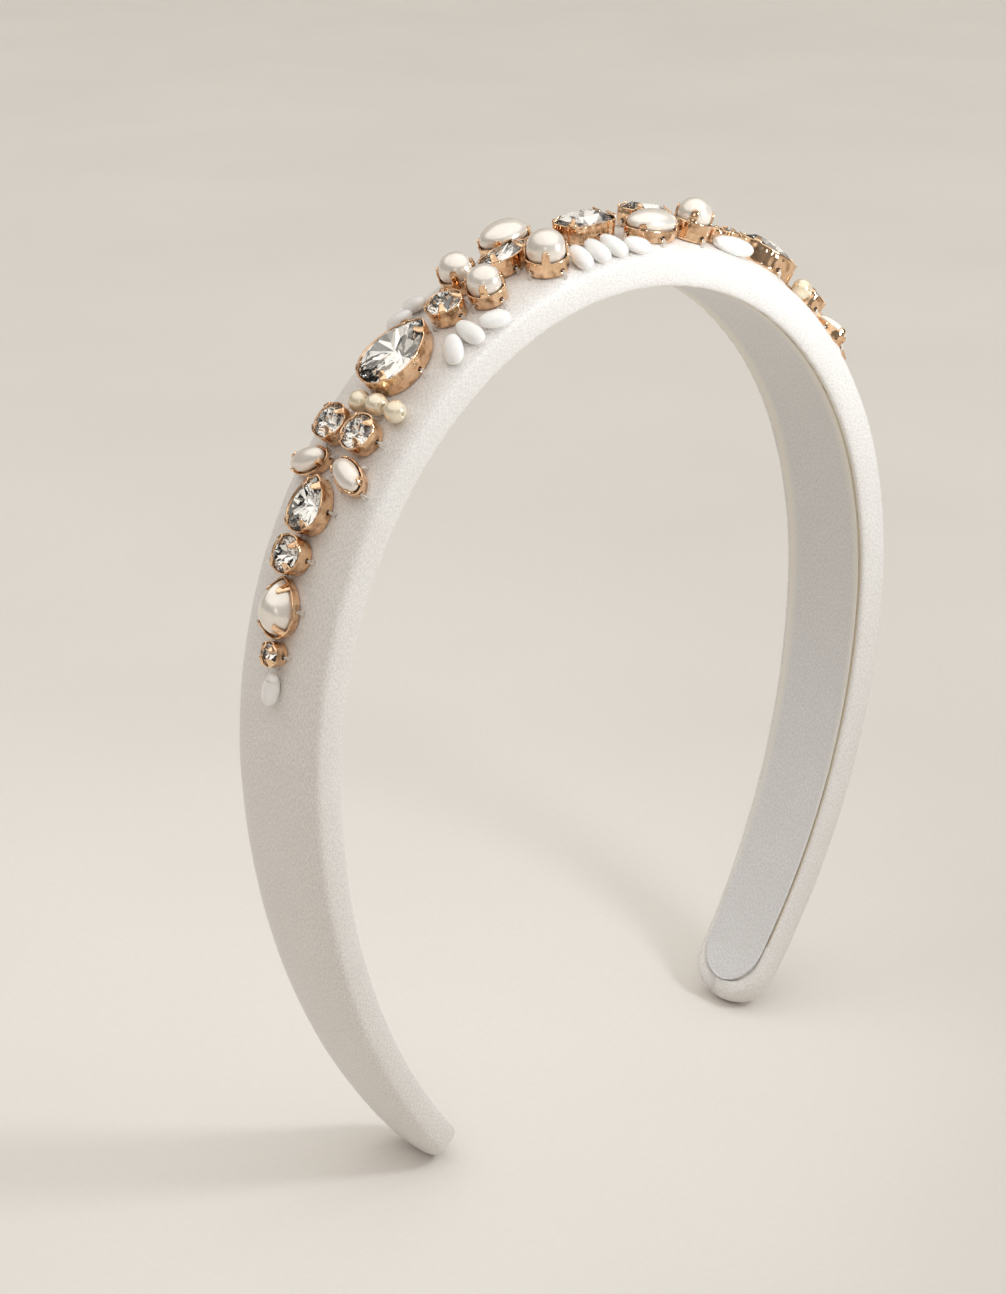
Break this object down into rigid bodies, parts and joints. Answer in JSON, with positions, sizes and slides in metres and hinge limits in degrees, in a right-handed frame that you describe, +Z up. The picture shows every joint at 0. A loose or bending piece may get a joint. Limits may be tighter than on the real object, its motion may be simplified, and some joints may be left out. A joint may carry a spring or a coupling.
{
  "type": "headband",
  "caption": "Padded satin headband with a tapered arch, its crown sewn with claw-set crystals, mounted pearls, pearl beads and white petal beads.",
  "frame": {"origin": "midway between the legs on the flat surface that the two tips stand on, at the middle of the band's width", "axes": "+X from the leg with the drop pearl shown first towards the other leg, +Y across the band from the wearer's front edge to the back edge, +Z up to the crown"},
  "size_m": [0.1432, 0.0224, 0.1651],
  "materials": {
    "core_plastic": "matte moulded",
    "foam": "open-cell foam",
    "ivory_satin": "duchess satin",
    "lining_satin": "satin ribbon",
    "thread": "fine polyester thread",
    "crystal": "cut and foiled at the back",
    "rose_gold": "polished rose-gold plate",
    "pearl": "pearl lustre",
    "bead_pearl": "pearl lustre",
    "white_bead": "opaque gloss"
  },
  "bodies": {
    "root": {"bead_pearls": "bead_pearl", "centre_chaton_crystal": "crystal", "centre_chaton_setting": "rose_gold", "centre_octagon_crystal": "crystal", "centre_octagon_setting": "rose_gold", "core_band": "core_plastic", "foam_pad": "foam", "left_button_pearl": "pearl", "left_button_setting": "rose_gold", "left_drop_pearl": "pearl", "left_drop_setting": "rose_gold", "left_end_chaton_crystal": "crystal", "left_end_chaton_setting": "rose_gold", "left_grand_pear_crystal": "crystal", "left_grand_pear_setting": "rose_gold", "left_lower_chaton_crystal": "crystal", "left_lower_chaton_setting": "rose_gold", "left_marquise_crystal": "crystal", "left_marquise_setting": "rose_gold", "left_oval_pearl": "pearl", "left_oval_setting": "rose_gold", "left_pear_crystal": "crystal", "left_pear_setting": "rose_gold", "left_rice_pearl": "pearl", "left_rice_setting": "rose_gold", "left_round_pearl": "pearl", "left_round_setting": "rose_gold", "left_twin_chatons_crystal": "crystal", "left_twin_chatons_setting": "rose_gold", "left_upper_chaton_crystal": "crystal", "left_upper_chaton_setting": "rose_gold", "lining_strip": "lining_satin", "long_petal_beads": "white_bead", "petal_beads": "white_bead", "right_baguette_crystal": "crystal", "right_baguette_setting": "rose_gold", "right_drop_pearl": "pearl", "right_drop_setting": "rose_gold", "right_end_chaton_crystal": "crystal", "right_end_chaton_setting": "rose_gold", "right_grand_pear_crystal": "crystal", "right_grand_pear_setting": "rose_gold", "right_lower_chaton_crystal": "crystal", "right_lower_chaton_setting": "rose_gold", "right_oval_crystal": "crystal", "right_oval_setting": "rose_gold", "right_pear_crystal": "crystal", "right_pear_setting": "rose_gold", "right_rice_pearl": "pearl", "right_rice_setting": "rose_gold", "right_short_pearl": "pearl", "right_short_setting": "rose_gold", "right_tall_pearl": "pearl", "right_tall_setting": "rose_gold", "right_twin_chatons_crystal": "crystal", "right_twin_chatons_setting": "rose_gold", "right_upper_chaton_crystal": "crystal", "right_upper_chaton_setting": "rose_gold", "satin_cover": "ivory_satin", "sewing_thread": "thread"}
  },
  "joints": []
}
